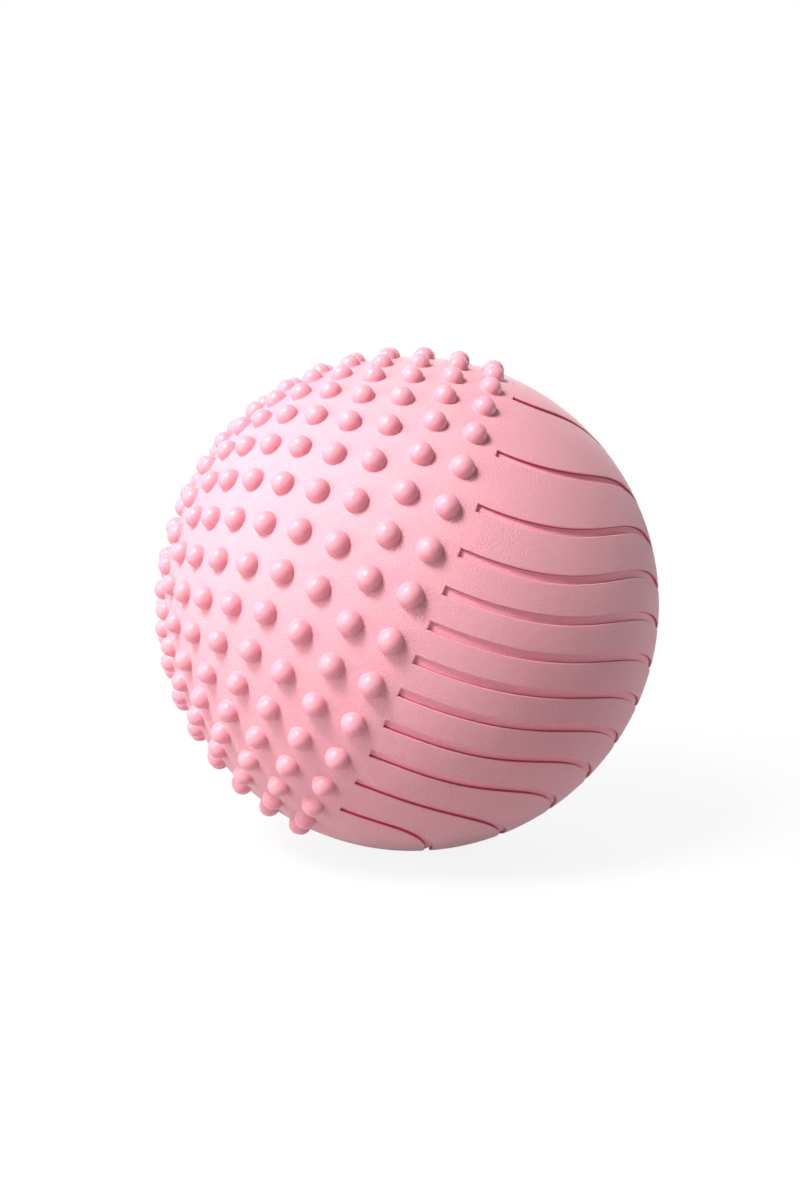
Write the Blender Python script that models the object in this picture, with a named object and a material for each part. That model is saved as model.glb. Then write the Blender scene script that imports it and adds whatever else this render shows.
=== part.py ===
import math

import bmesh
import bpy
from mathutils import Vector
from mathutils.geometry import delaunay_2d_cdt

for old in list(bpy.data.objects):
    bpy.data.objects.remove(old, do_unlink=True)

# Sizes in metres. The ball stands on z = 0, X to the right, Y away from the viewer.

BALL_D = 0.650            # across the smooth skin
GROOVE_W = 0.009          # across one groove
GROOVE_DEPTH = 0.004
FLOOR_WALL = 0.002        # skin left under a groove floor at the equator
BALANCE = 0.003           # skin this much thicker at the grooved pole, thinner behind the solid nubs
NUB_D = 0.0262            # across one nub at its base
NUB_H = 0.0134            # nub tip above the skin
FOOT_D = 0.058            # the patch the ball stands on
FIT = 0.0003              # clearance between pieces that touch

SEAT_D = 0.020            # neck of the valve seat, flush with the skin
PAD_D = 0.032             # flat ring on the skin round the valve
FLANGE_D = 0.040          # flange of the seat behind the skin
FLANGE_T = 0.0025
FLANGE_LAND = 0.002       # flat skin reaching past the flange edge
SLEEVE_D = 0.0150
SLEEVE_LEN = 0.0230       # from the pad to the inner end of the sleeve
BORE_D = 0.0090
HEAD_D = 0.0156           # plug head, sunk flush in the seat
HEAD_T = 0.0020
STEM_LEN = 0.0210         # from the top of the head to the stem tip
STEM_HOLE_D = 0.0034      # blind hole from the inner end of the stem
STEM_HOLE_LEN = 0.0140
RIB_DEPTH = 0.0006        # how far the stem narrows between its ribs
EDGE = 0.0004             # small chamfers

# Attitude and layout, in degrees.

POLE_DIP = 23.06          # grooved pole below the horizontal
POLE_TURN = 4.17          # grooved pole turned away from the viewer
VALVE_LAT = 13.0          # valve above the equator on the grooved half
VALVE_AZ = -105.0
NUB_RINGS = (             # latitude on the nub half, nubs in the ring, azimuth of one nub
    (5.00, 42, -52.7), (12.76, 42, -52.6), (20.47, 40, -40.9), (28.22, 40, -49.8),
    (35.95, 36, -53.8), (43.65, 32, -58.7), (51.26, 28, -26.1), (58.79, 24, -28.2),
    (66.60, 18, -26.0), (74.30, 12, -12.0), (82.00, 6, 0.0), (90.00, 1, 0.0))
GROOVES = 12
# Side shift of a groove, x from -1 to 1 over the set and p from -90 to 90 along its length.
# Even powers of x go with sin(kp), odd powers with cos(kp), so but for the first, constant
# term the set looks the same after half a turn about the poles.
WAVE_SIN = ((0, 1, -0.16), (0, 3, 4.79), (0, 5, -0.21), (0, 7, -0.40),
            (2, 1, 0.87), (2, 3, -1.44), (2, 5, -5.67), (2, 7, -2.95),
            (4, 1, 2.63), (4, 3, -5.94), (4, 5, 4.32), (4, 7, 4.11))
WAVE_COS = ((0, 0, 0.66), (1, 0, 43.77), (1, 2, 8.66), (1, 4, 0.30), (1, 6, 0.05),
            (3, 0, 4.47), (3, 2, -0.99), (3, 4, 0.92), (3, 6, 1.93),
            (5, 0, 6.79), (5, 2, -3.97), (5, 4, -2.93), (5, 6, -2.54))

# Mesh fineness.

NUB_SIDES = 6
GROOVE_STEPS = 20
RING_SIDES = 24
OUTER_FILL = 420          # spread points on the plain outer skin before thinning
INNER_FILL = 260
FOOT_COLLARS = ((0.020, 20), (0.048, 20))   # extra rings round the foot: distance, points

# Derived sizes.

R = BALL_D / 2
R_IN = R - GROOVE_DEPTH - FLOOR_WALL
HOLE_R = SEAT_D / 2 + FIT
PAD_R = PAD_D / 2
LAND_R = FLANGE_D / 2 + FLANGE_LAND
PAD_Z = math.sqrt(R * R - PAD_R * PAD_R)
CENTRE = Vector((0, 0, math.sqrt(R * R - FOOT_D * FOOT_D / 4)))
DOWN = Vector((0, 0, -1))


def pole_frame():
    dip, turn = math.radians(POLE_DIP), math.radians(POLE_TURN)
    pole = Vector((math.cos(dip) * math.cos(turn), math.sin(turn), -math.sin(dip) * math.cos(turn)))
    front = Vector((0, -1, 0))
    front = (front - pole * front.dot(pole)).normalized()
    return pole, front, pole.cross(front)


POLE, FRONT, SIDE = pole_frame()


def direction(lat, az):
    lat, az = math.radians(lat), math.radians(az)
    round_it = FRONT * math.cos(az) + SIDE * math.sin(az)
    return POLE * math.sin(lat) + round_it * math.cos(lat)


def inner_radius(axis):
    # the mass centre comes near the middle of the ball, so the ball stays on its foot
    return R_IN - BALANCE * axis.dot(POLE)


VALVE_IN = R_IN - BALANCE * math.sin(math.radians(VALVE_LAT))
LAND_Z = math.sqrt(VALVE_IN * VALVE_IN - LAND_R * LAND_R)
SKIN_T = PAD_Z - LAND_Z


def across(axis):
    u = axis.cross(POLE)
    if u.length < 0.1:
        u = axis.cross(FRONT)
    u.normalize()
    return u, axis.cross(u)


def ring(axis, radius, height, sides, turn=0.0):
    u, v = across(axis)
    points = []
    for k in range(sides):
        a = 2 * math.pi * (k + turn) / sides
        points.append(axis * height + (u * math.cos(a) + v * math.sin(a)) * radius)
    return points


def groove_shift(x, phase):
    shift = sum(c * x ** j * math.sin(k * phase) for j, k, c in WAVE_SIN)
    shift += sum(c * x ** j * math.cos(k * phase) for j, k, c in WAVE_COS)
    return math.radians(shift)


def groove_point(number, along):
    x = (number - (GROOVES - 1) / 2) / ((GROOVES - 1) / 2)
    turn = math.pi * along
    shift = groove_shift(x, turn - math.pi / 2)
    flat = FRONT * math.cos(turn) + POLE * math.sin(turn)
    return flat * math.cos(shift) + SIDE * math.sin(shift)


def groove_outline(number):
    left, right = [], []
    half = GROOVE_W / 2
    for k in range(GROOVE_STEPS + 1):
        along = k / GROOVE_STEPS
        here = groove_point(number, along)
        step = groove_point(number, along + 0.002) - groove_point(number, along - 0.002)
        side = here.cross(step).normalized()
        if k in (0, GROOVE_STEPS):
            # the end walls run along the equator
            level = POLE.cross(here).normalized()
            side = level * (1 / side.dot(level))
        left.append((here + side * (half / R)).normalized())
        right.append((here - side * (half / R)).normalized())
    return left + right[::-1]


def spread(count):
    points = []
    for k in range(count):
        z = 1 - (2 * k + 1) / count
        a = k * math.pi * (3 - math.sqrt(5))
        flat = math.sqrt(1 - z * z)
        points.append(Vector((flat * math.cos(a), flat * math.sin(a), z)))
    return points


def flatten(point):
    # stereographic view from the middle of the foot
    p = point.normalized()
    return Vector((p.x / (1 + p.z), p.y / (1 + p.z)))


class Sheet:
    def __init__(self):
        self.points, self.faces, self.kinds, self.loops = [], [], [], []

    def add_points(self, points):
        first = len(self.points)
        self.points += points
        return list(range(first, len(self.points)))

    def add_patch(self, points, kind):
        ids = self.add_points(points)
        flat = [flatten(self.points[i]) for i in ids]
        turn = sum(a.x * b.y - b.x * a.y for a, b in zip(flat, flat[1:] + flat[:1]))
        self.faces.append(ids if turn > 0 else ids[::-1])
        self.kinds.append(kind)
        return ids

    def add_loop(self, points):
        ids = self.add_points(points)
        self.loops += list(zip(ids, ids[1:] + ids[:1]))
        return ids

    def triangles(self):
        flat = [flatten(p) for p in self.points]
        out = delaunay_2d_cdt(flat, self.loops, self.faces, 0, 1e-9)
        first = [ids[0] for ids in out[3]]
        result = []
        for tri, inside in zip(out[2], out[5]):
            kind = self.kinds[inside[0]] if inside else ("skin",)
            result.append(([first[i] for i in tri], kind))
        return result


def nub_axes():
    axes = []
    for lat, count, az in NUB_RINGS:
        axes += [direction(-lat, az + 360 * k / count) for k in range(count)]
    return axes


def dome_rings(axis):
    base_z = math.sqrt(R * R - NUB_D * NUB_D / 4)
    tip = R + NUB_H
    mid_r, mid_z = 0.745 * NUB_D / 2, base_z + 0.735 * (tip - base_z)
    middle = ring(axis, mid_r, mid_z, NUB_SIDES)
    return middle, axis * tip


def keep_clear(candidates, taken, clearance):
    kept = []
    for p in candidates:
        if all((p - q).length > clearance for q in taken):
            kept.append(p)
    return kept


def outer_sheet(sheet, valve_axis):
    axes = nub_axes()
    base_z = math.sqrt(R * R - NUB_D * NUB_D / 4)
    for number, axis in enumerate(axes):
        sheet.add_patch(ring(axis, NUB_D / 2, base_z, NUB_SIDES), ("nub", number))
    for number in range(GROOVES):
        sheet.add_patch([p * R for p in groove_outline(number)], ("groove", number))
    foot_z = math.sqrt(R * R - FOOT_D * FOOT_D / 4)
    foot = sheet.add_loop(ring(DOWN, FOOT_D / 2, foot_z, RING_SIDES))
    sheet.add_loop(ring(valve_axis, PAD_R, PAD_Z, RING_SIDES))
    hole = sheet.add_patch(ring(valve_axis, HOLE_R, PAD_Z, RING_SIDES), ("hole",))
    taken = [a * R for a in axes]
    for number in range(GROOVES):
        taken += [groove_point(number, k / 60) * R for k in range(61)]
    spots = []
    for reach, sides in FOOT_COLLARS:
        away = FOOT_D / 2 + reach
        spots += ring(DOWN, away, math.sqrt(R * R - away * away), sides)
    spots = keep_clear(spots, taken, 0.016)
    rest = keep_clear([p * R for p in spread(OUTER_FILL)], taken, 0.030)
    rest = keep_clear(rest, [DOWN * R], FOOT_D / 2 + FOOT_COLLARS[-1][0] + 0.024)
    spots += keep_clear(rest, [valve_axis * R], PAD_R + 0.018)
    sheet.add_points(spots)
    return axes, foot, hole


def build_outer(bm, valve_axis):
    sheet = Sheet()
    axes, foot, hole = outer_sheet(sheet, valve_axis)
    verts = [bm.verts.new(CENTRE + p) for p in sheet.points]
    floors = {}
    for face, kind in zip(sheet.faces, sheet.kinds):
        if kind[0] != "groove":
            continue
        for i in face:
            floors[i] = bm.verts.new(CENTRE + sheet.points[i] * ((R - GROOVE_DEPTH) / R))
        for a, b in zip(face, face[1:] + face[:1]):
            bm.faces.new((verts[b], verts[a], floors[a], floors[b]))
    for tri, kind in sheet.triangles():
        if kind[0] == "skin":
            bm.faces.new([verts[i] for i in tri])
        elif kind[0] == "groove":
            bm.faces.new([floors[i] for i in tri])
    for face, kind in zip(sheet.faces, sheet.kinds):
        if kind[0] == "nub":
            add_dome(bm, axes[kind[1]], [verts[i] for i in face])
    bm.faces.new([verts[i] for i in order_loop(sheet, foot, DOWN)])
    return [verts[i] for i in hole]


def add_dome(bm, axis, base):
    middle, tip = dome_rings(axis)
    here = base[0].co - CENTRE
    second = base[1].co - CENTRE
    start = min(range(NUB_SIDES), key=lambda k: (middle[k].normalized() - here.normalized()).length)
    step = 1 if here.cross(second).dot(axis) > 0 else -1
    mid = [bm.verts.new(CENTRE + middle[(start + step * k) % NUB_SIDES]) for k in range(NUB_SIDES)]
    top = bm.verts.new(CENTRE + tip)
    for k in range(NUB_SIDES):
        n = (k + 1) % NUB_SIDES
        bm.faces.new((base[k], base[n], mid[n], mid[k]))
        bm.faces.new((mid[k], mid[n], top))


def order_loop(sheet, ids, facing):
    a, b = sheet.points[ids[0]], sheet.points[ids[1]]
    return ids if a.cross(b).dot(facing) > 0 else ids[::-1]


def build_inner(bm, valve_axis):
    sheet = Sheet()
    end_z = math.sqrt(inner_radius(DOWN) ** 2 - FOOT_D * FOOT_D / 4)
    end = sheet.add_loop(ring(DOWN, FOOT_D / 2, end_z, RING_SIDES // 2))
    sheet.add_loop(ring(valve_axis, LAND_R, LAND_Z, RING_SIDES))
    hole = sheet.add_patch(ring(valve_axis, HOLE_R, LAND_Z, RING_SIDES), ("hole",))
    spots = [p * inner_radius(p) for p in spread(INNER_FILL)]
    spots = keep_clear(spots, [DOWN * R_IN], FOOT_D / 2 + 0.02)
    spots = keep_clear(spots, [valve_axis * R_IN], LAND_R + 0.015)
    sheet.add_points(spots)
    verts = [bm.verts.new(CENTRE + p) for p in sheet.points]
    for tri, kind in sheet.triangles():
        if kind[0] == "skin":
            bm.faces.new([verts[i] for i in tri][::-1])
    bm.faces.new([verts[i] for i in order_loop(sheet, end, -DOWN)])
    return [verts[i] for i in hole]


def build_skin(valve_axis):
    bm = bmesh.new()
    outside = build_outer(bm, valve_axis)
    inside = build_inner(bm, valve_axis)
    count = len(outside)
    for k in range(count):
        n = (k + 1) % count
        bm.faces.new((outside[n], outside[k], inside[k], inside[n]))
    bmesh.ops.triangulate(bm, faces=[f for f in bm.faces if len(f.verts) == 4])
    bmesh.ops.recalc_face_normals(bm, faces=bm.faces[:])
    return bm


def lathe(profile, axis, origin, closed):
    # the profile is (radius, height) pairs; height runs outwards along the axis
    bm = bmesh.new()
    u, v = across(axis)
    rows = []
    for radius, height in profile:
        row = []
        for k in range(RING_SIDES if radius > 0 else 1):
            a = 2 * math.pi * k / RING_SIDES
            row.append(bm.verts.new(origin + axis * height
                                    + (u * math.cos(a) + v * math.sin(a)) * radius))
        rows.append(row)
    pairs = list(zip(rows, rows[1:] + (rows[:1] if closed else [])))
    for one, two in pairs:
        for k in range(RING_SIDES):
            n = (k + 1) % RING_SIDES
            corners = [one[k % len(one)], one[n % len(one)], two[n % len(two)], two[k % len(two)]]
            unique = list(dict.fromkeys(corners))
            bm.faces.new(unique)
    bmesh.ops.recalc_face_normals(bm, faces=bm.faces[:])
    return bm


def seat_profile():
    under = -(SKIN_T + FIT)
    bore = BORE_D / 2
    sink = HEAD_D / 2 + FIT
    shelf = -(HEAD_T + FIT)
    neck = SEAT_D / 2
    return [(neck - EDGE, 0), (neck, -EDGE), (neck, under), (FLANGE_D / 2, under),
            (FLANGE_D / 2, under - FLANGE_T), (SLEEVE_D / 2, under - FLANGE_T),
            (SLEEVE_D / 2, -SLEEVE_LEN), (bore, -SLEEVE_LEN), (bore, shelf),
            (sink, shelf), (sink, -EDGE), (sink + EDGE, 0)]


def plug_profile():
    head = HEAD_D / 2
    rib = BORE_D / 2 - FIT
    core = rib - RIB_DEPTH
    bottom = -STEM_LEN
    hollow = STEM_HOLE_D / 2
    points = [(0, 0), (head - EDGE, 0), (head, -EDGE), (head, -HEAD_T), (rib, -HEAD_T)]
    span = (STEM_LEN - HEAD_T - 0.003) / 3
    for k in range(3):
        z = -HEAD_T - 0.001 - k * span
        points += [(rib, z - 0.25 * span), (core, z - 0.45 * span), (core, z - 0.75 * span),
                   (rib, z - 0.95 * span)]
    points += [(rib, bottom + 0.001), (rib - 0.001, bottom), (hollow, bottom),
               (hollow, bottom + STEM_HOLE_LEN), (0, bottom + STEM_HOLE_LEN + 0.001)]
    return points


def material(name, colour, roughness, specular):
    mat = bpy.data.materials.new(name)
    mat.use_nodes = True
    shader = mat.node_tree.nodes["Principled BSDF"]
    shader.inputs["Base Color"].default_value = (*colour, 1)
    shader.inputs["Roughness"].default_value = roughness
    shader.inputs["Specular IOR Level"].default_value = specular
    return mat


def add_object(name, bm, mat, collection, origin=Vector((0, 0, 0))):
    for vert in bm.verts:
        vert.co -= origin
    mesh = bpy.data.meshes.new(name)
    bm.to_mesh(mesh)
    bm.free()
    obj = bpy.data.objects.new(name, mesh)
    obj.location = origin
    obj.data.materials.append(mat)
    collection.objects.link(obj)
    return obj


def main():
    collection = bpy.data.collections.new("nubbed_exercise_ball")
    bpy.context.scene.collection.children.link(collection)
    valve_axis = direction(VALVE_LAT, VALVE_AZ)
    valve_top = CENTRE + valve_axis * PAD_Z
    add_object("ball_skin", build_skin(valve_axis),
               material("pink_vinyl", (0.86, 0.36, 0.44), 0.55, 0.4), collection)
    add_object("valve_seat", lathe(seat_profile(), valve_axis, valve_top, True),
               material("pink_vinyl_seat", (0.80, 0.33, 0.41), 0.5, 0.4), collection)
    add_object("air_plug", lathe(plug_profile(), valve_axis, valve_top, False),
               material("white_plug_plastic", (0.88, 0.86, 0.84), 0.35, 0.5), collection,
               origin=valve_top)


main()
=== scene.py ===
import math

import bpy
import numpy as np
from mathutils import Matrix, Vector
from mathutils.geometry import delaunay_2d_cdt


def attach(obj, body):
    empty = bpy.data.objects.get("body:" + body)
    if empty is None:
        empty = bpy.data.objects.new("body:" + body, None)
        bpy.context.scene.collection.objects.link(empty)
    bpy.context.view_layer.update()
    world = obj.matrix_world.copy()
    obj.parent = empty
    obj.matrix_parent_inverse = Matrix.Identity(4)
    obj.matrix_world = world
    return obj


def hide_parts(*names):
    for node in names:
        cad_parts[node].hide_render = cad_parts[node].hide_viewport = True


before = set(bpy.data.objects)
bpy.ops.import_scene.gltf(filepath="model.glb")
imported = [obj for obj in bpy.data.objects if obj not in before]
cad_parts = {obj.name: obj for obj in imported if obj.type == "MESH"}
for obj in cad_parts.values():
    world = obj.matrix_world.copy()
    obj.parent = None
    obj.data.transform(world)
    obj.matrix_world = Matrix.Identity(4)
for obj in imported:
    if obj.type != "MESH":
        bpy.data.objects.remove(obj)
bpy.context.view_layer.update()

# Sizes in metres, with the names and values of the CAD source.

BALL_D = 0.650            # across the smooth skin
GROOVE_W = 0.009          # across one groove
GROOVE_DEPTH = 0.004
FLOOR_WALL = 0.002        # skin left under a groove floor at the equator
BALANCE = 0.003           # skin this much thicker at the grooved pole, thinner behind the nubs
NUB_D = 0.0262            # across one nub at its base
NUB_H = 0.0134            # nub tip above the skin
FOOT_D = 0.058            # the patch the ball stands on
FIT = 0.0003              # clearance between pieces that touch

SEAT_D = 0.020            # neck of the valve seat, flush with the skin
PAD_D = 0.032             # flat ring on the skin round the valve
FLANGE_D = 0.040          # flange of the seat behind the skin
FLANGE_T = 0.0025
FLANGE_LAND = 0.002       # flat skin reaching past the flange edge
SLEEVE_D = 0.0150
SLEEVE_LEN = 0.0230       # from the pad to the inner end of the sleeve
BORE_D = 0.0090
HEAD_D = 0.0156           # plug head, sunk flush in the seat
HEAD_T = 0.0020
STEM_LEN = 0.0210         # from the top of the head to the stem tip
STEM_HOLE_D = 0.0034      # blind hole from the inner end of the stem
STEM_HOLE_LEN = 0.0140
RIB_DEPTH = 0.0006        # how far the stem narrows between its ribs

# Attitude and layout, in degrees.

POLE_DIP = 23.06          # grooved pole below the horizontal
POLE_TURN = 4.17          # grooved pole turned away from the viewer
VALVE_LAT = 13.0          # valve above the equator on the grooved half
VALVE_AZ = -105.0
# The first eight rings are fitted to the nubs in the photograph, and the last four are guessed.
NUB_RINGS = (             # latitude on the nub half, nubs in the ring, azimuth of one nub
    (5.00, 42, -52.7), (12.76, 42, -52.6), (20.47, 40, -40.9), (28.22, 40, -49.8),
    (35.95, 36, -53.8), (43.65, 32, -58.7), (51.26, 28, -26.1), (58.79, 24, -28.2),
    (66.60, 18, -26.0), (74.30, 12, -12.0), (82.00, 6, 0.0), (90.00, 1, 0.0))
GROOVES = 12
# Side shift of a groove, x from -1 to 1 over the set and p from -90 to 90 along its length.
# Even powers of x go with sin(kp), odd powers with cos(kp), so but for the first, constant
# term the set looks the same after half a turn about the poles. The coefficients are a
# least-squares fit to points traced along the grooves in the photograph.
WAVE_SIN = ((0, 1, -0.16), (0, 3, 4.79), (0, 5, -0.21), (0, 7, -0.40),
            (2, 1, 0.87), (2, 3, -1.44), (2, 5, -5.67), (2, 7, -2.95),
            (4, 1, 2.63), (4, 3, -5.94), (4, 5, 4.32), (4, 7, 4.11))
WAVE_COS = ((0, 0, 0.66), (1, 0, 43.77), (1, 2, 8.66), (1, 4, 0.30), (1, 6, 0.05),
            (3, 0, 4.47), (3, 2, -0.99), (3, 4, 0.92), (3, 6, 1.93),
            (5, 0, 6.79), (5, 2, -3.97), (5, 4, -2.93), (5, 6, -2.54))

# Edges and other fine forms, in metres.

HALF_W = GROOVE_W / 2
GROOVE_PROFILE = (        # half width, depth: rounded lip, wall and rounded floor edge
    (HALF_W + 0.0013, 0.0), (HALF_W + 0.0008, 0.00008), (HALF_W + 0.0004, 0.00030),
    (HALF_W + 0.0001, 0.0007), (HALF_W, 0.0011), (HALF_W - 0.0001, GROOVE_DEPTH - 0.0006),
    (HALF_W - 0.0003, GROOVE_DEPTH - 0.0001), (HALF_W - 0.0008, GROOVE_DEPTH))
NUB_FILLET = 0.0005       # reach of the fillet at a nub's foot
NUB_WALL = 0.0010         # where a nub's wall ends and its round cap starts, over its base
NUB_DRAFT = 0.0001        # how far that wall leans in
TURNED_ROUND = 0.0004     # rounding of the valve pieces' edges
DISH_DEPTH = 0.0004       # shallow dish in the plug's head
RIBS = 3                  # round the plug's stem
STEM_TIP = 0.001          # chamfer of the stem's tip
HOLE_TIP = 0.001          # cone at the blind end of the stem's hole

# Mesh fineness.

NUB_SIDES = 28
CAP_ANGLES = (0, 9, 18, 28, 38, 48, 58, 68, 79)     # rows of points up a nub's cap, in degrees
GROOVE_STEPS = 150
GROOVE_PROBES = 400       # points along a groove that the spread points keep clear of
END_STEP = 0.0006         # an extra row of points this close to each end of a groove
END_SHARES = (0.93, 0.5, 0.0, -0.5, -0.93)          # points across a groove's end
SLOPE_STEP = 0.0008       # a groove's direction is taken this share of the half turn either side
ROUND_SIDES = 96          # foot, valve ring and valve pieces
SHARP_ANGLE = 60
FILL = 9000               # spread points on the plain skin before thinning
NUB_CLEAR = 0.004         # how far the spread points keep from a nub's edge
GROOVE_CLEAR = 0.004
FOOT_CLEAR = 0.003
VALVE_CLEAR = 0.005

# Colours.

SKIN_PINK = (0.74, 0.345, 0.400)
SKIN_PINK_WARM = (0.76, 0.360, 0.412)
# deep pink for the fine specks, and painted shade on the groove walls
SPECK_AND_WALL_SHADE_PINK = (0.50, 0.06, 0.13)
# painted light: a paler pink on the groove floors that lifts the shade in them
FLOOR_PAINTED_LIGHT_PINK = (0.93, 0.38, 0.47)
# painted highlight along the groove lips
LIP_HIGHLIGHT_PINK = (0.90, 0.45, 0.51)
NUB_PINK = (0.75, 0.310, 0.370)
BUSH_PINK = (0.76, 0.36, 0.412)
BUSH_PINK_DEEP = (0.68, 0.28, 0.34)
PLUG_WHITE = (0.86, 0.85, 0.83)
PLUG_WHITE_DEEP = (0.78, 0.77, 0.75)

# Heights over the smooth skin between which the colour changes, in metres: the nubs' own pink,
# painted shade on the groove walls, painted light on their floors and a painted highlight on
# their lips.

NUB_FADE = (0.0004, 0.0022)
WALL_FADE = (-0.0010, -0.0005)
FLOOR_FADE = (0.0001 - GROOVE_DEPTH, 0.0004 - GROOVE_DEPTH)
LIP_FADE = (-0.00040, -0.00015)
LIP_FOOT_FADE = (-0.0010, -0.0006)

# Stage.

FLOOR_HALF = 30.0         # half the floor's width in metres
FLOOR_DROP = 0.0005       # floor below the foot in metres
FLOOR_SEEN = (0.88, 0.88, 0.88)
FLOOR_BOUNCE = (0.48, 0.47, 0.47)
SKY_TINT = (1, 0.95, 0.965)
WHITE = (1, 1, 1)
AMBIENT = 0.18
LAMP_AWAY = 2.6           # metres from the ball's centre
LAMPS = (                 # name, direction from the ball, width in metres, power in watts
    ("key", (-0.42, -0.60, 0.68), 0.8, 88.0),
    ("left", (-0.80, -0.58, 0.12), 2.4, 54.0),
    ("rim", (0.95, 0.28, -0.05), 0.6, 12.0),
    ("back", (0.10, 0.95, 0.30), 2.4, 45.0))

# Camera, fitted to the photograph.

FRAME_PX = (800, 1200)
BALL_PX = (412.0, 604.0)  # the ball's centre in the photograph
FOCAL_PX = 796.3          # focal length in the photograph's pixels
SENSOR = 36.0             # millimetres for the longer side of the frame
CAMERA_AWAY = 3.3754      # ball radii from the ball's centre

R = BALL_D / 2
FOOT_BELOW = math.sqrt(R * R - FOOT_D * FOOT_D / 4)  # the foot, below the ball's centre
CENTRE = np.array((0, 0, FOOT_BELOW))
DOWN = np.array((0.0, 0.0, -1.0))


def unit(v):
    return v / np.linalg.norm(v, axis=-1, keepdims=True)


def pole_frame():
    dip, turn = math.radians(POLE_DIP), math.radians(POLE_TURN)
    pole = np.array((math.cos(dip) * math.cos(turn), math.sin(turn),
                     -math.sin(dip) * math.cos(turn)))
    front = np.array((0.0, -1.0, 0.0))
    front = unit(front - pole * front.dot(pole))
    return pole, front, np.cross(pole, front)


POLE, FRONT, SIDE = pole_frame()


def direction(lat, az):
    lat, az = math.radians(lat), math.radians(az)
    return (POLE * math.sin(lat)
            + (FRONT * math.cos(az) + SIDE * math.sin(az)) * math.cos(lat))


def across(axis):
    # two directions square to the axis and to each other
    u = np.cross(axis, POLE)
    if np.linalg.norm(u) < 0.1:
        u = np.cross(axis, FRONT)
    u = unit(u)
    return u, np.cross(axis, u)


VALVE = direction(VALVE_LAT, VALVE_AZ)
PAD_Z = math.sqrt(R * R - PAD_D * PAD_D / 4)        # flat ring, from the ball's centre
VALVE_TOP = CENTRE + VALVE * PAD_Z
# the hollow's wall at the valve, from the ball's centre, and the depth of the hole through it
VALVE_IN = R - GROOVE_DEPTH - FLOOR_WALL - BALANCE * math.sin(math.radians(VALVE_LAT))
SKIN_T = PAD_Z - math.sqrt(VALVE_IN ** 2 - (FLANGE_D / 2 + FLANGE_LAND) ** 2)


# Skin: one fine mesh of smooth ball, nubs, grooves, foot and valve ring.

class Skin:
    # sheet holds every point that the plain skin joins, holes the outlines that it leaves
    # open and edges the rim of the foot, where it ends
    def __init__(self):
        self.co, self.no, self.faces = [], [], []
        self.count = 0
        self.sheet, self.holes, self.edges = [], [], []

    def add(self, co, no):
        co, no = np.atleast_2d(co), np.atleast_2d(no)
        ids = np.arange(self.count, self.count + len(co))
        self.co.append(co)
        self.no.append(unit(no))
        self.count += len(co)
        return ids

    def stack(self, last, ids, co):
        # a form's first outline is a hole in the plain skin, and each later one is joined to
        # the one before; all run anticlockwise as seen from outside
        if last is None:
            self.holes.append(ids.tolist())
            self.sheet.append((ids, co))
        else:
            a, b = np.roll(last, -1), np.roll(ids, -1)
            self.faces += np.stack([last, a, b, ids], 1).tolist()
        return ids

    def rim(self, ids, co):
        self.edges += list(zip(ids.tolist(), np.roll(ids, -1).tolist()))
        self.sheet.append((ids, co))


def flatten(co):
    # the ball laid out flat, opened at its lowest point, which is inside the foot
    p = unit(co)
    return p[:, :2] / (1 + p[:, 2:3])


def anticlockwise(co):
    flat = flatten(co)
    ahead = np.roll(flat, -1, 0)
    return (flat[:, 0] * ahead[:, 1] - ahead[:, 0] * flat[:, 1]).sum() > 0


def ring_about(axis, sides):
    u, v = across(axis)
    a = 2 * np.pi * np.arange(sides) / sides
    return np.outer(np.cos(a), u) + np.outer(np.sin(a), v)


def circle(axis, radius, height, sides):
    ring = ring_about(axis, sides)
    return axis * height + ring * radius, ring


def bend(start, corner, stop, share):
    # a point on the curve from start to stop that is drawn towards the corner
    start, corner, stop = map(np.array, (start, corner, stop))
    rest = 1 - share
    return tuple(rest ** 2 * start + 2 * share * rest * corner + share * share * stop)


def profile_normals(profile):
    # away from the solid, for a profile that runs from its outer side inwards
    step = np.gradient(np.array(profile), axis=0)
    return unit(np.stack([step[:, 1], -step[:, 0]], 1))


def nub_axes():
    return np.array([direction(-lat, az + 360 * k / count)
                     for lat, count, az in NUB_RINGS for k in range(count)])


def nub_profile():
    # (radius, height over the ball's centre) from the skin up to just short of the tip:
    # a tight fillet where the nub leaves the skin, a short drafted wall and a round cap
    r, tip = NUB_D / 2, R + NUB_H
    base = math.sqrt(R * R - r * r)
    wall = base + NUB_WALL
    outer = (r + NUB_FILLET, math.sqrt(R * R - (r + NUB_FILLET) ** 2))
    first = (r - NUB_DRAFT / 2, base + NUB_FILLET)
    rows = [bend(outer, (r, base), first, share) for share in (0.0, 0.33, 0.66)]
    rows.append(first)
    for t in np.radians(CAP_ANGLES):
        rows.append(((r - NUB_DRAFT) * math.cos(t), wall + (tip - wall) * math.sin(t)))
    return rows


def add_nubs(skin):
    profile = nub_profile()
    normals = profile_normals(profile)
    for axis in nub_axes():
        last = None
        for (r, h), (nr, nh) in zip(profile, normals):
            co, ring = circle(axis, r, h, NUB_SIDES)
            no = unit(co) if last is None else ring * nr + axis * nh
            last = skin.stack(last, skin.add(co, no), co)
        tip = skin.add(axis * (R + NUB_H), axis)[0]
        skin.faces += [[int(a), int(b), int(tip)] for a, b in zip(last, np.roll(last, -1))]


def groove_centre(number, along):
    middle = (GROOVES - 1) / 2
    x = (number - middle) / middle
    turn = np.pi * np.asarray(along, float)
    phase = turn - np.pi / 2
    shift = sum(c * x ** j * np.sin(k * phase) for j, k, c in WAVE_SIN)
    shift = shift + sum(c * x ** j * np.cos(k * phase) for j, k, c in WAVE_COS)
    shift = np.radians(shift)[:, None]
    flat = np.outer(np.cos(turn), FRONT) + np.outer(np.sin(turn), POLE)
    return flat * np.cos(shift) + SIDE * np.sin(shift)


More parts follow.
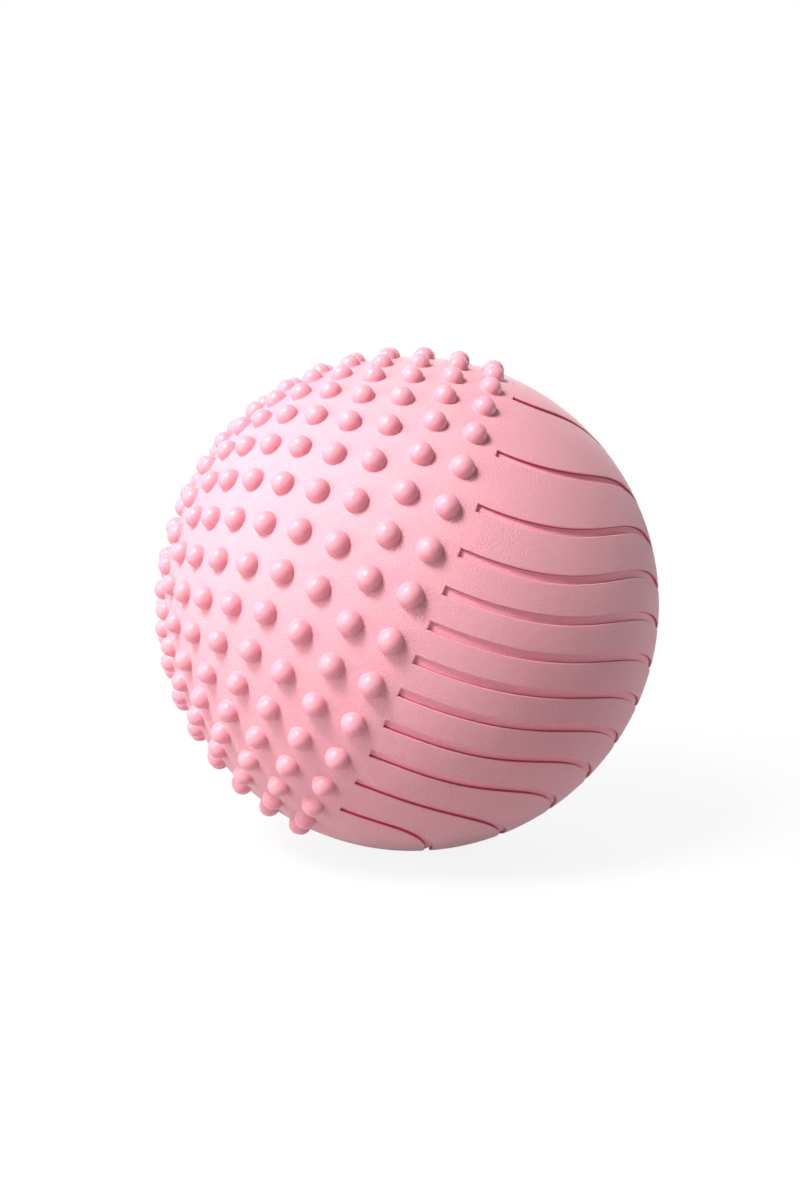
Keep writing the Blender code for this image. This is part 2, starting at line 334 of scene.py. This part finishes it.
def end_margin(number, along, inset):
    # share of the half turn from the end of a groove to the end of this outline
    shift = math.asin(float(groove_centre(number, [along])[0] @ SIDE))
    return math.asin(math.sin(inset / R) / math.cos(shift)) / math.pi


def groove_loop(number, half, depth, wall):
    # wall is (sideways, upwards): the lateral and radial parts of the normal
    inset = HALF_W - half
    start, stop = end_margin(number, 0.0, inset), 1 - end_margin(number, 1.0, inset)
    near = END_STEP / (math.pi * R)
    t = np.concatenate([[start, start + near], np.linspace(start, stop, GROOVE_STEPS + 1)[1:-1],
                        [stop - near, stop]])
    here = groove_centre(number, t)
    step = groove_centre(number, t + SLOPE_STEP) - groove_centre(number, t - SLOPE_STEP)
    side = unit(np.cross(here, step))
    # both ends are cut along the equator, where a slanting groove is wider
    reach = np.full(len(t), half)
    for k in (0, -1):
        level = unit(np.cross(POLE, here[k]))
        reach[k] = half / abs(side[k] @ level)
        side[k] = level * np.sign(side[k] @ level)
    left = unit(here + side * (reach / R)[:, None])
    right = unit(here - side * (reach / R)[:, None])
    end = [unit(here[-1] + side[-1] * (reach[-1] * c / R)) for c in END_SHARES]
    begin = [unit(here[0] - side[0] * (reach[0] * c / R)) for c in END_SHARES]
    co = np.concatenate([left, end, right[::-1], begin])
    if depth == 0:
        return co * R, co, len(t)
    lateral, radial = wall
    n_left = -side * lateral + here * radial
    n_right = side * lateral + here * radial
    fore, aft = POLE - here[0] * (POLE @ here[0]), POLE - here[-1] * (POLE @ here[-1])
    n_begin = unit(fore) * lateral + here[0] * radial
    n_end = unit(aft) * lateral + here[-1] * radial
    n_left[0], n_right[0] = n_left[0] + n_begin, n_right[0] + n_begin
    n_left[-1], n_right[-1] = n_left[-1] + n_end, n_right[-1] + n_end
    caps = (len(END_SHARES), 1)
    no = np.concatenate([n_left, np.tile(n_end, caps), n_right[::-1], np.tile(n_begin, caps)])
    return co * (R - depth), no, len(t)


def floor_faces(ids, n):
    # strips across the floor from its innermost outline of n points a side
    caps = len(END_SHARES)
    left, end = ids[:n], ids[n:n + caps]
    right, begin = ids[n + caps:2 * n + caps][::-1], ids[2 * n + caps:]
    faces = []
    for k in range(n - 1):
        face = [left[k], left[k + 1]]
        if k == n - 2:
            face += list(end)
        face += [right[k + 1], right[k]]
        if k == 0:
            face += list(begin)
        faces.append([int(i) for i in face])
    return faces


def add_grooves(skin):
    walls = profile_normals(GROOVE_PROFILE)
    walls[0] = walls[-1] = (0, 1)
    for number in range(GROOVES):
        last = None
        for (half, depth), wall in zip(GROOVE_PROFILE, walls):
            co, no, n = groove_loop(number, half, depth, wall)
            if last is None:
                way = 1 if anticlockwise(co) else -1
            ids = skin.add(co, no)
            last = skin.stack(last, ids[::way], co[::way])
        skin.faces += [face[::way] for face in floor_faces(ids, n)]


def add_foot(skin):
    co = circle(DOWN, FOOT_D / 2, FOOT_BELOW, ROUND_SIDES)[0]
    skin.rim(skin.add(co, co), co)
    # the rim's points are there twice, so that the flat foot has a crisp edge
    flat = skin.add(co, np.tile(DOWN, (ROUND_SIDES, 1)))
    skin.faces.append(flat.tolist())


def add_valve_ring(skin):
    reach, pad, hole = PAD_D / 2 + 0.0012, PAD_D / 2, SEAT_D / 2 + FIT
    # radius, height over the ball's centre, and the normal as (outwards, along the axis)
    rows = [(reach, math.sqrt(R * R - reach * reach), None),
            (pad + 0.0004, PAD_Z - 0.00003, (0.03, 1)), (pad - 0.0004, PAD_Z, (0, 1)),
            (hole + 0.0005, PAD_Z, (0, 1)), (hole + 0.0001, PAD_Z - 0.00012, (-0.7, 0.7)),
            (hole, PAD_Z - 0.0005, (-1, 0)), (hole, PAD_Z - SKIN_T, (-1, 0))]
    last = None
    for radius, height, wall in rows:
        co, ring = circle(VALVE, radius, height, ROUND_SIDES)
        no = co if wall is None else ring * wall[0] + VALVE * wall[1]
        last = skin.stack(last, skin.add(co, no), co)


def spread(count):
    # even directions all round, each a golden angle on from the last
    k = np.arange(count)
    z = 1 - (2 * k + 1) / count
    a = k * math.pi * (3 - math.sqrt(5))
    flat = np.sqrt(1 - z * z)
    return np.stack([flat * np.cos(a), flat * np.sin(a), z], 1)


def keep_clear(points, taken, clearance):
    limit = math.cos(clearance / R)
    keep = np.ones(len(points), bool)
    for k in range(0, len(taken), 200):
        keep &= (points @ taken[k:k + 200].T).max(1) < limit
    return points[keep]


def add_plain_skin(skin):
    dots = spread(FILL)
    dots = keep_clear(dots, nub_axes(), NUB_D / 2 + NUB_CLEAR)
    for number in range(GROOVES):
        course = groove_centre(number, np.linspace(0, 1, GROOVE_PROBES))
        dots = keep_clear(dots, course, HALF_W + GROOVE_CLEAR)
    dots = keep_clear(dots, DOWN[None], FOOT_D / 2 + FOOT_CLEAR)
    dots = keep_clear(dots, VALVE[None], PAD_D / 2 + VALVE_CLEAR)
    co = dots * R
    skin.sheet.append((skin.add(co, co), co))
    all_ids = np.concatenate([i for i, c in skin.sheet])
    all_co = np.concatenate([c for i, c in skin.sheet])
    place = {int(i): k for k, i in enumerate(all_ids)}
    flat = [Vector(p) for p in flatten(all_co).tolist()]
    edges = [(place[a], place[b]) for a, b in skin.edges]
    holes = [[place[i] for i in hole] for hole in skin.holes]
    out = delaunay_2d_cdt(flat, edges, holes, 0, 1e-10)
    back = [int(all_ids[i[0]]) for i in out[3]]
    for triangle, in_holes in zip(out[2], out[5]):
        if not in_holes:
            skin.faces.append([back[i] for i in triangle])


def make_mesh(name, co, faces, normals=None):
    mesh = bpy.data.meshes.new(name)
    mesh.from_pydata([tuple(p) for p in co], [], faces)
    mesh.polygons.foreach_set("use_smooth", [True] * len(mesh.polygons))
    if normals is not None:
        mesh.normals_split_custom_set_from_vertices([tuple(n) for n in normals])
    mesh.update()
    obj = bpy.data.objects.new(name, mesh)
    bpy.context.scene.collection.objects.link(obj)
    return obj


def build_skin():
    skin = Skin()
    add_nubs(skin)
    add_grooves(skin)
    add_foot(skin)
    add_valve_ring(skin)
    add_plain_skin(skin)
    co = np.concatenate(skin.co) + CENTRE
    return make_mesh("moulded_skin", co, skin.faces, np.concatenate(skin.no))


# Turned pieces of the valve.

def lathe(name, profile, closed=False):
    # turns (radius, height over the pad) about the valve's axis
    ring = ring_about(VALVE, ROUND_SIDES)
    co, rows = [], []
    count = 0
    for radius, height in profile:
        here = VALVE_TOP + VALVE * height
        if radius > 0:
            co.append(here + ring * radius)
            rows.append(np.arange(count, count + ROUND_SIDES))
        else:
            co.append(here[None])
            rows.append(np.full(ROUND_SIDES, count))
        count += len(co[-1])
    faces = []
    for one, two in zip(rows, rows[1:] + (rows[:1] if closed else [])):
        for k in range(ROUND_SIDES):
            n = (k + 1) % ROUND_SIDES
            faces.append(list(dict.fromkeys(int(i) for i in (one[k], two[k], two[n], one[n]))))
    obj = make_mesh(name, np.concatenate(co), faces)
    obj.data.set_sharp_from_angle(angle=math.radians(SHARP_ANGLE))
    return obj


def rounded(points, radius, steps=4):
    # rounds each corner of an open profile, ends kept
    out = [points[0]]
    for a, b, c in zip(points, points[1:], points[2:]):
        a, b, c = map(np.array, (a, b, c))
        la, lc = np.linalg.norm(a - b), np.linalg.norm(c - b)
        cut = min(radius, la * 0.45, lc * 0.45)
        p, q = b + (a - b) / la * cut, b + (c - b) / lc * cut
        out += [bend(p, b, q, k / steps) for k in range(steps + 1)]
    out.append(points[-1])
    return out


def build_seat():
    under = -(SKIN_T + FIT)
    neck, bore, sink = SEAT_D / 2, BORE_D / 2, HEAD_D / 2 + FIT
    shelf = -(HEAD_T + FIT)
    points = [(sink, shelf * 0.5), (sink, 0), (neck, 0), (neck, under), (FLANGE_D / 2, under),
              (FLANGE_D / 2, under - FLANGE_T), (SLEEVE_D / 2, under - FLANGE_T),
              (SLEEVE_D / 2, -SLEEVE_LEN), (bore, -SLEEVE_LEN), (bore, shelf), (sink, shelf),
              (sink, shelf * 0.5)]
    return lathe("valve_bush", rounded(points, TURNED_ROUND)[:-1], closed=True)


def build_plug():
    head, rib = HEAD_D / 2, BORE_D / 2 - FIT
    core, bottom, hollow = rib - RIB_DEPTH, -STEM_LEN, STEM_HOLE_D / 2
    span = (STEM_LEN - HEAD_T - 3 * STEM_TIP) / RIBS
    # the ribs start one tip's length under the head and stop two short of the stem's end
    points = [(0, -DISH_DEPTH), (head * 0.55, -DISH_DEPTH), (head * 0.68, 0), (head, 0),
              (head, -HEAD_T), (rib, -HEAD_T)]
    for k in range(RIBS):
        z = -HEAD_T - STEM_TIP - k * span
        points += [(rib, z - 0.25 * span), (core, z - 0.45 * span), (core, z - 0.75 * span),
                   (rib, z - 0.95 * span)]
    points += [(rib, bottom + STEM_TIP), (rib - STEM_TIP, bottom), (hollow, bottom),
               (hollow, bottom + STEM_HOLE_LEN), (0, bottom + STEM_HOLE_LEN + HOLE_TIP)]
    return lathe("push_in_plug", rounded(points, TURNED_ROUND))


# Shader nodes.

def new_material(name):
    mat = bpy.data.materials.new(name)
    mat.use_nodes = True
    nodes, links = mat.node_tree.nodes, mat.node_tree.links
    return mat, nodes, links, nodes["Principled BSDF"]


def noise(nodes, links, vector, scale, detail, rough=0.5):
    node = nodes.new("ShaderNodeTexNoise")
    node.inputs["Scale"].default_value = scale
    node.inputs["Detail"].default_value = detail
    node.inputs["Roughness"].default_value = rough
    links.new(vector, node.inputs["Vector"])
    return node.outputs["Fac"]


def math_node(nodes, links, kind, a, b, c=None):
    node = nodes.new("ShaderNodeMath")
    node.operation = kind
    for k, value in enumerate((a, b, c)):
        if value is None:
            continue
        if isinstance(value, (int, float)):
            node.inputs[k].default_value = value
        else:
            links.new(value, node.inputs[k])
    return node.outputs[0]


def vector_node(nodes, links, kind, vector):
    node = nodes.new("ShaderNodeVectorMath")
    node.operation = kind
    links.new(vector, node.inputs[0])
    return node


def remap(nodes, links, value, a, b, c, d):
    # from the range a to b to the range c to d, held at its ends
    node = nodes.new("ShaderNodeMapRange")
    node.clamp = True
    for k, v in zip((1, 2, 3, 4), (a, b, c, d)):
        node.inputs[k].default_value = v
    links.new(value, node.inputs[0])
    return node.outputs[0]


def mix_colour(nodes, links, factor, one, two):
    node = nodes.new("ShaderNodeMix")
    node.data_type = "RGBA"
    links.new(factor, node.inputs[0])
    for socket, value in ((node.inputs[6], one), (node.inputs[7], two)):
        if isinstance(value, tuple):
            socket.default_value = (*value, 1)
        else:
            links.new(value, socket)
    return node.outputs[2]


def mix_shader(nodes, links, share, one, two):
    node = nodes.new("ShaderNodeMixShader")
    for k, value in enumerate((share, one, two)):
        links.new(value, node.inputs[k])
    return node.outputs[0]


def bump(nodes, links, height, strength, distance):
    node = nodes.new("ShaderNodeBump")
    node.inputs["Strength"].default_value = strength
    node.inputs["Distance"].default_value = distance
    links.new(height, node.inputs["Height"])
    return node


def seen_directly(nodes, links):
    # 1 on rays from the camera, mirrored rays and rays through glass, and 0 on the rest
    path = nodes.new("ShaderNodeLightPath")
    seen = math_node(nodes, links, "MAXIMUM", path.outputs["Is Camera Ray"],
                     path.outputs["Is Glossy Ray"])
    return math_node(nodes, links, "MAXIMUM", seen, path.outputs["Is Transmission Ray"])


# Materials.

def vinyl_colour(nodes, links, place, height, on_nub, fine):
    # pink with a slow drift and fine specks
    cloud = remap(nodes, links, noise(nodes, links, place, 7.0, 2.0), 0.35, 0.65, 0.0, 1.0)
    base = mix_colour(nodes, links, cloud, SKIN_PINK, SKIN_PINK_WARM)
    speck = remap(nodes, links, fine, 0.3, 0.7, 0.0, 0.08)
    base = mix_colour(nodes, links, speck, base, SPECK_AND_WALL_SHADE_PINK)
    base = mix_colour(nodes, links, on_nub, base, NUB_PINK)
    # painted shade: the groove walls are painted a deep, dark pink where shade falls in the
    # grooves
    below = remap(nodes, links, height, *WALL_FADE, 1.0, 0.0)
    above = remap(nodes, links, height, *FLOOR_FADE, 0.0, 1.0)
    on_wall = math_node(nodes, links, "MULTIPLY", below, above)
    wall_shade = math_node(nodes, links, "MULTIPLY", on_wall, 0.95)
    base = mix_colour(nodes, links, wall_shade, base, SPECK_AND_WALL_SHADE_PINK)
    # painted light: the groove floors are painted paler to lift the shade in them, and a painted
    # highlight runs along the groove lips
    floor_painted_light = remap(nodes, links, height, *FLOOR_FADE, 1.0, 0.0)
    lip_top = remap(nodes, links, height, *LIP_FADE, 1.0, 0.0)
    lip_foot = remap(nodes, links, height, *LIP_FOOT_FADE, 0.0, 0.6)
    lip_highlight = math_node(nodes, links, "MULTIPLY", lip_top, lip_foot)
    base = mix_colour(nodes, links, floor_painted_light, base, FLOOR_PAINTED_LIGHT_PINK)
    return mix_colour(nodes, links, lip_highlight, base, LIP_HIGHLIGHT_PINK)


def vinyl_grain(nodes, links, place, on_nub, fine):
    # small closed bumps like a sand-blasted mould, nearly gone on the nubs, over slow waves
    cells = nodes.new("ShaderNodeTexVoronoi")
    cells.feature = "F1"
    cells.inputs["Scale"].default_value = 620.0
    links.new(place, cells.inputs["Vector"])
    pebble = remap(nodes, links, cells.outputs["Distance"], 0.0, 0.7, 1.0, 0.0)
    grain = math_node(nodes, links, "MULTIPLY_ADD", fine, 0.6, pebble)
    plain = remap(nodes, links, on_nub, 0.0, 1.0, 1.0, 0.12)
    grain = math_node(nodes, links, "MULTIPLY", grain, plain)
    grains = bump(nodes, links, grain, 0.8, 0.0006)
    waves = bump(nodes, links, noise(nodes, links, place, 22.0, 2.0), 0.12, 0.004)
    links.new(grains.outputs[0], waves.inputs["Normal"])
    return waves.outputs[0]


def vinyl_material():
    mat, nodes, links, shader = new_material("pink_vinyl_skin")
    place = nodes.new("ShaderNodeTexCoord").outputs["Object"]
    offset = vector_node(nodes, links, "SUBTRACT", place)
    offset.inputs[1].default_value = tuple(CENTRE)
    away = vector_node(nodes, links, "LENGTH", offset.outputs[0]).outputs["Value"]
    height = math_node(nodes, links, "SUBTRACT", away, R)
    on_nub = remap(nodes, links, height, *NUB_FADE, 0.0, 1.0)
    fine = noise(nodes, links, place, 900.0, 2.0, 0.6)
    base = vinyl_colour(nodes, links, place, height, on_nub, fine)
    links.new(base, shader.inputs["Base Color"])
    # finish: grained matt skin, smoother satin nubs
    grain_rough = remap(nodes, links, fine, 0.3, 0.7, 0.42, 0.54)
    smooth = math_node(nodes, links, "MULTIPLY", on_nub, -0.10)
    rough = math_node(nodes, links, "ADD", grain_rough, smooth)
    links.new(rough, shader.inputs["Roughness"])
    shader.inputs["Specular IOR Level"].default_value = 0.18
    shader.inputs["Sheen Weight"].default_value = 0.12
    shader.inputs["Sheen Roughness"].default_value = 0.20
    links.new(math_node(nodes, links, "MULTIPLY", on_nub, 0.25), shader.inputs["Coat Weight"])
    shader.inputs["Coat Roughness"].default_value = 0.30
    # a little light passes through the vinyl and warms the shaded edges
    shader.inputs["Subsurface Weight"].default_value = 0.22
    shader.inputs["Subsurface Radius"].default_value = (0.012, 0.0012, 0.0018)
    shader.inputs["Subsurface Scale"].default_value = 1.0
    links.new(vinyl_grain(nodes, links, place, on_nub, fine), shader.inputs["Normal"])
    return mat


def plain_vinyl(name, colour, wall_shade, roughness, grain_scale, strength):
    mat, nodes, links, shader = new_material(name)
    place = nodes.new("ShaderNodeTexCoord").outputs["Object"]
    fine = noise(nodes, links, place, grain_scale, 3.0)
    tone = remap(nodes, links, fine, 0.3, 0.7, 0.0, 0.5)
    links.new(mix_colour(nodes, links, tone, colour, wall_shade), shader.inputs["Base Color"])
    links.new(remap(nodes, links, fine, 0.3, 0.7, roughness - 0.06, roughness + 0.08),
              shader.inputs["Roughness"])
    links.new(bump(nodes, links, fine, strength, 0.0003).outputs[0], shader.inputs["Normal"])
    return mat


def floor_material():
    # takes a faint shadow near the ball and fades to plain white farther out
    mat = bpy.data.materials.new("studio_floor")
    mat.use_nodes = True
    nodes, links = mat.node_tree.nodes, mat.node_tree.links
    nodes.clear()
    out = nodes.new("ShaderNodeOutputMaterial")
    diffuse = nodes.new("ShaderNodeBsdfDiffuse")
    white = nodes.new("ShaderNodeEmission")
    white.inputs["Strength"].default_value = 1.0
    seen = seen_directly(nodes, links)
    links.new(mix_colour(nodes, links, seen, FLOOR_BOUNCE, FLOOR_SEEN), diffuse.inputs["Color"])
    place = nodes.new("ShaderNodeTexCoord").outputs["Object"]
    away = vector_node(nodes, links, "LENGTH", place).outputs["Value"]
    share = remap(nodes, links, away, 0.4, 1.4, 0.88, 1.0)
    share = math_node(nodes, links, "MULTIPLY", seen, share)
    surface = mix_shader(nodes, links, share, diffuse.outputs[0], white.outputs[0])
    links.new(surface, out.inputs["Surface"])
    return mat


# Stage.

def build_floor():
    corners = [(x * FLOOR_HALF, y * FLOOR_HALF, -FLOOR_DROP)
               for x, y in ((-1, -1), (1, -1), (1, 1), (-1, 1))]
    floor = make_mesh("floor", corners, [[0, 1, 2, 3]])
    floor.data.materials.append(floor_material())


def background(nodes, colour, strength):
    node = nodes.new("ShaderNodeBackground")
    node.inputs["Color"].default_value = (*colour, 1)
    node.inputs["Strength"].default_value = strength
    return node.outputs[0]


def build_world():
    # a weak sky lights the ball, while the camera and mirrored rays see white
    world = bpy.data.worlds.new("studio")
    bpy.context.scene.world = world
    world.use_nodes = True
    nodes, links = world.node_tree.nodes, world.node_tree.links
    nodes.clear()
    out = nodes.new("ShaderNodeOutputWorld")
    sky, white = background(nodes, SKY_TINT, AMBIENT), background(nodes, WHITE, 1.0)
    surface = mix_shader(nodes, links, seen_directly(nodes, links), sky, white)
    links.new(surface, out.inputs["Surface"])


def build_lamp(name, way, width, power):
    data = bpy.data.lights.new(name, "AREA")
    data.shape = "DISK"
    data.size = width
    data.energy = power
    obj = bpy.data.objects.new(name, data)
    way = Vector(way).normalized()
    obj.location = Vector(CENTRE) + way * LAMP_AWAY
    obj.rotation_mode = "QUATERNION"
    obj.rotation_quaternion = way.to_track_quat("Z", "Y")
    bpy.context.scene.collection.objects.link(obj)


def build_camera():
    data = bpy.data.cameras.new("camera")
    data.sensor_fit = "AUTO"
    data.sensor_width = SENSOR
    wide, tall = FRAME_PX
    data.lens = SENSOR * FOCAL_PX / tall
    data.shift_x = (wide / 2 - BALL_PX[0]) / tall
    data.shift_y = (BALL_PX[1] - tall / 2) / tall
    obj = bpy.data.objects.new("camera", data)
    obj.location = Vector(CENTRE) + Vector((0, -CAMERA_AWAY * R, 0))
    obj.rotation_euler = (math.pi / 2, 0, 0)
    bpy.context.scene.collection.objects.link(obj)
    bpy.context.scene.camera = obj


# Scene.

build_camera()
build_floor()
build_world()
for lamp in LAMPS:
    build_lamp(*lamp)
bpy.context.scene.view_settings.view_transform = "Standard"

skin = build_skin()
skin.data.materials.append(vinyl_material())
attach(skin, "ball")
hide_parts("ball_skin")

bush = build_seat()
bush.data.materials.append(plain_vinyl("pink_vinyl_bush", BUSH_PINK, BUSH_PINK_DEEP,
                                       0.5, 700.0, 0.2))
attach(bush, "ball")
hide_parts("valve_seat")

plug = build_plug()
plug.data.materials.append(plain_vinyl("white_plug", PLUG_WHITE, PLUG_WHITE_DEEP,
                                       0.36, 500.0, 0.12))
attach(plug, "plug")
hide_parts("air_plug")
